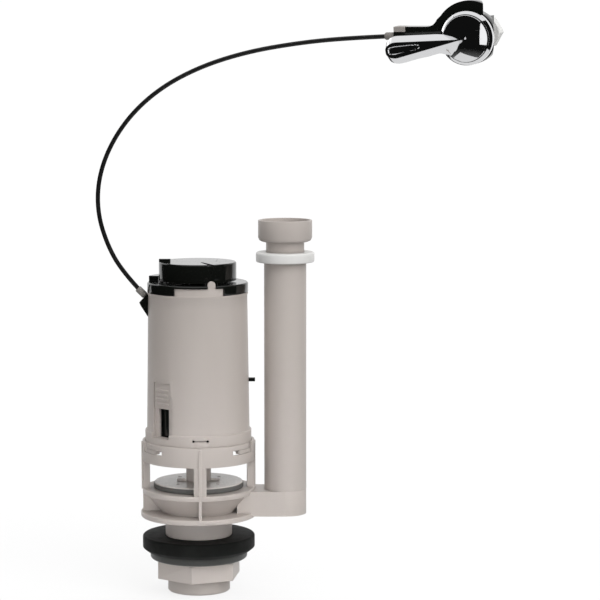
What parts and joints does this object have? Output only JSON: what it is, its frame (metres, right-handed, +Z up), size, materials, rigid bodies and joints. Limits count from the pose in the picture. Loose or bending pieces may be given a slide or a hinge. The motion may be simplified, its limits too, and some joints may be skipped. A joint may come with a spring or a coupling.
{
  "type": "toilet flush valve",
  "caption": "Cable-operated cistern outlet valve with caged seat, float housing, side overflow pipe, sealing washer, threaded tail with backnut, and a cable lever.",
  "frame": {"origin": "on the valve axis, in the plane of the flange underside that seats on the cistern floor", "axes": "+Z up along the valve axis, +X towards the overflow pipe, -Y towards the dial's window"},
  "size_m": [0.2907, 0.0882, 0.4236],
  "materials": {
    "light_plastic": "moulded light warm grey polypropylene, satin",
    "white_plastic": "translucent natural plastic",
    "black_plastic": "glossy black moulded plastic",
    "black_rubber": "dense black rubber",
    "grey_rubber": "dark grey silicone",
    "chrome": "polished plate",
    "steel": "plain zinc plated steel",
    "cable_black": "extruded black jacket",
    "grey_plastic": "grey moulded clip",
    "brass": "plain turned"
  },
  "bodies": {
    "valve_body": {"base_funnel": "light_plastic", "outlet_tail": "light_plastic", "overflow_arm": "light_plastic", "cage_frame": "light_plastic", "overflow_pipe": "light_plastic", "overflow_grip_ring": "white_plastic", "outer_housing": "light_plastic", "stem_guide": "black_plastic", "rocker_pin": "steel", "top_cap": "black_plastic", "cable_bracket": "black_plastic", "valve_ferrule": "grey_plastic", "cable_sheath": "cable_black", "lever_ferrule": "grey_plastic", "lever_rose": "chrome", "rose_gasket": "black_rubber", "lever_bracket": "black_plastic", "bracket_cover": "black_plastic", "return_spring": "steel", "cable_clip": "grey_plastic", "lever_wire": "steel"},
    "lever": {"lever_handle": "chrome", "lever_spindle": "steel", "drive_pin": "steel", "spindle_clip": "steel", "cable_drum": "white_plastic", "drum_wire": "steel"},
    "rocker": {"lift_rocker": "light_plastic"},
    "pull_wire": {"cable_nipple": "brass", "inner_wire": "steel"},
    "plug": {"plug_disc": "light_plastic", "plug_seal": "grey_rubber", "seal_retainer": "light_plastic", "valve_stem": "light_plastic", "float_cup": "light_plastic", "float_clip": "black_plastic"},
    "overflow_top": {"overflow_extension": "light_plastic"},
    "volume_slide": {"volume_slider": "light_plastic"},
    "level_slide": {"level_adjuster": "black_plastic"},
    "dial": {"tuning_dial": "black_plastic", "dial_clip": "light_plastic"},
    "clamp_stack": {"sealing_washer": "black_rubber", "slip_ring": "black_plastic"},
    "tail_nut": {"backnut": "light_plastic"},
    "spigot_washer": {"nut_washer": "white_plastic"},
    "wall_nut": {"spigot_nut": "white_plastic"}
  },
  "joints": [
    {"name": "lever_press", "type": "hinge", "parent": "valve_body", "child": "lever", "pos_m": [0.1893, -0.034, 0.3424], "axis": [-0.3571, -0.9303, -0.0837], "range_deg": [0, 45], "stiffness_Nm_per_rad": 0.25, "springref_deg": -20.05},
    {"name": "rocker_lift", "type": "hinge", "parent": "valve_body", "child": "rocker", "pos_m": [0.025, 0, 0.156], "axis": [0, 1, 0], "range_deg": [0, 13.3]},
    {"name": "wire_swing", "type": "hinge", "parent": "rocker", "child": "pull_wire", "pos_m": [-0.013, 0, 0.13], "axis": [0, 1, 0], "range_deg": [-19.6, 0]},
    {"name": "plug_lift", "type": "slide", "parent": "valve_body", "child": "plug", "axis": [0, 0, 1], "range_m": [0, 0.00625]},
    {"name": "overflow_raise", "type": "slide", "parent": "valve_body", "child": "overflow_top", "axis": [0, 0, 1], "range_m": [0, 0.05]},
    {"name": "volume_slide_down", "type": "slide", "parent": "valve_body", "child": "volume_slide", "axis": [0, 0, -1], "range_m": [0, 0.018]},
    {"name": "level_slide_height", "type": "slide", "parent": "valve_body", "child": "level_slide", "axis": [0, 0, 1], "range_m": [-0.012, 0.011]},
    {"name": "dial_turn", "type": "hinge", "parent": "valve_body", "child": "dial", "pos_m": [0, 0, 0.177], "axis": [0, 0, 1], "range_deg": [-42, 0]},
    {"name": "clamp_rise", "type": "slide", "parent": "valve_body", "child": "clamp_stack", "axis": [0, 0, 1], "range_m": [0, 0.013]},
    {"name": "backnut_turn", "type": "hinge", "parent": "clamp_stack", "child": "tail_nut", "pos_m": [0, 0, -0.038], "axis": [0, 0, 1], "range_deg": [0, 2025]},
    {"name": "spigot_washer_slide", "type": "slide", "parent": "valve_body", "child": "spigot_washer", "axis": [-0.3571, -0.9303, -0.0837], "range_m": [0, 0.0102]},
    {"name": "spigot_nut_turn", "type": "hinge", "parent": "spigot_washer", "child": "wall_nut", "pos_m": [0.20501, 0.00693, 0.34608], "axis": [-0.3571, -0.9303, -0.0837], "range_deg": [0, 2400]}
  ],
  "couplings": [
    {"joint": "rocker_lift", "follows": "lever_press", "ratio": 0.29556},
    {"joint": "wire_swing", "follows": "lever_press", "ratio": -0.43533},
    {"joint": "plug_lift", "follows": "lever_press", "m_per_rad": 0.0079602},
    {"joint": "clamp_rise", "follows": "backnut_turn", "m_per_rad": 0.00036749},
    {"joint": "spigot_washer_slide", "follows": "spigot_nut_turn", "m_per_rad": 0.00023873}
  ]
}
